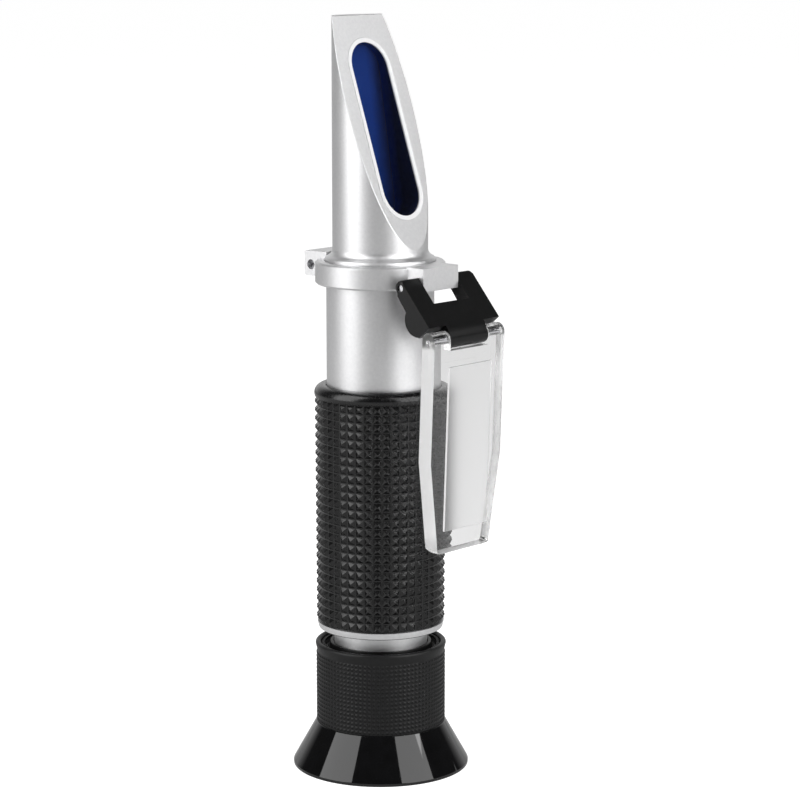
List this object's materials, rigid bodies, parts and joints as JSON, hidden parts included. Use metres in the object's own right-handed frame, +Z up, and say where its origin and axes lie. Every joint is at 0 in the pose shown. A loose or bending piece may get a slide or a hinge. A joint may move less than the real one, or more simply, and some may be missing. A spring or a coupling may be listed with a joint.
{
  "type": "handheld refractometer",
  "caption": "Handheld refractometer: slanted prism nose with a flip-over clear daylight plate, studded rubber grip and a focusing eyepiece with a flared eyecup.",
  "frame": {"origin": "centre of the eyecup's open rim, on the optical axis", "axes": "+Z up the optical axis towards the prism, -Y towards the slanted prism face, the hinge and the daylight plate, +X to the right when the prism face is looked at"},
  "size_m": [0.0394, 0.046, 0.1671],
  "materials": {
    "satin_aluminium": "satin, fine blasted",
    "black_rubber": "matt moulded rubber",
    "black_plastic": "semi-matt moulded plastic",
    "matte_black": "matt black anodised",
    "glossy_black": "glossy moulded plastic",
    "steel": "turned steel",
    "brass": "rolled strip",
    "optical_glass": "polished, coated",
    "prism_glass": "polished, dark blue in reflection",
    "pale_seal": "smooth pale sealing bead",
    "clear_acrylic": "clear with a matt raised pad"
  },
  "bodies": {
    "main_body": {"barrel": "satin_aluminium", "rubber_grip": "black_rubber", "focus_neck": "satin_aluminium", "focus_oring": "black_rubber", "guide_screw": "steel", "reticle_cell": "matte_black", "reticle": "optical_glass", "reticle_ring": "steel", "strip_anchor": "steel", "bimetal_strip": "brass", "strip_screws": "steel", "objective_cell": "matte_black", "objective_lens": "optical_glass", "objective_ring": "steel", "field_stop": "matte_black", "collar": "satin_aluminium", "locking_screw": "steel", "prism_housing": "satin_aluminium", "prism": "prism_glass", "prism_seal": "pale_seal", "hinge_pin": "steel"},
    "calibration_screw": {"calibration_screw": "steel"},
    "yoke": {"yoke": "black_plastic", "plate_pin": "steel"},
    "daylight_plate": {"daylight_plate": "clear_acrylic"},
    "lens_carrier": {"lens_tube": "matte_black", "eye_lens": "optical_glass", "lens_spacer": "matte_black", "field_lens": "optical_glass", "lens_retaining_ring": "steel"},
    "eyepiece": {"focus_ring": "black_plastic", "focus_rubber": "black_rubber", "eyecup": "glossy_black"}
  },
  "joints": [
    {"name": "yoke_hinge", "type": "hinge", "parent": "main_body", "child": "yoke", "pos_m": [0, -0.01615, 0.11035], "axis": [-1, 0, 0], "range_deg": [0, 165.5]},
    {"name": "plate_hinge", "type": "hinge", "parent": "yoke", "child": "daylight_plate", "pos_m": [0, -0.024, 0.0995], "axis": [-1, 0, 0], "range_deg": [-5, 35.6]},
    {"name": "focus_travel", "type": "slide", "parent": "main_body", "child": "lens_carrier", "axis": [0, 0, 1], "range_m": [-0.00101, 0.00251]},
    {"name": "focus_turn", "type": "hinge", "parent": "lens_carrier", "child": "eyepiece", "pos_m": [0, 0, 0.02], "axis": [0, 0, 1], "range_deg": [-60, 150]},
    {"name": "calibration_turn", "type": "hinge", "parent": "main_body", "child": "calibration_screw", "pos_m": [-0.0027, 0.0156, 0.11225], "axis": [1, 0, 0], "range_deg": [-180, 180]}
  ],
  "couplings": [
    {"joint": "focus_travel", "follows": "focus_turn", "m_per_rad": 0.00095493}
  ]
}
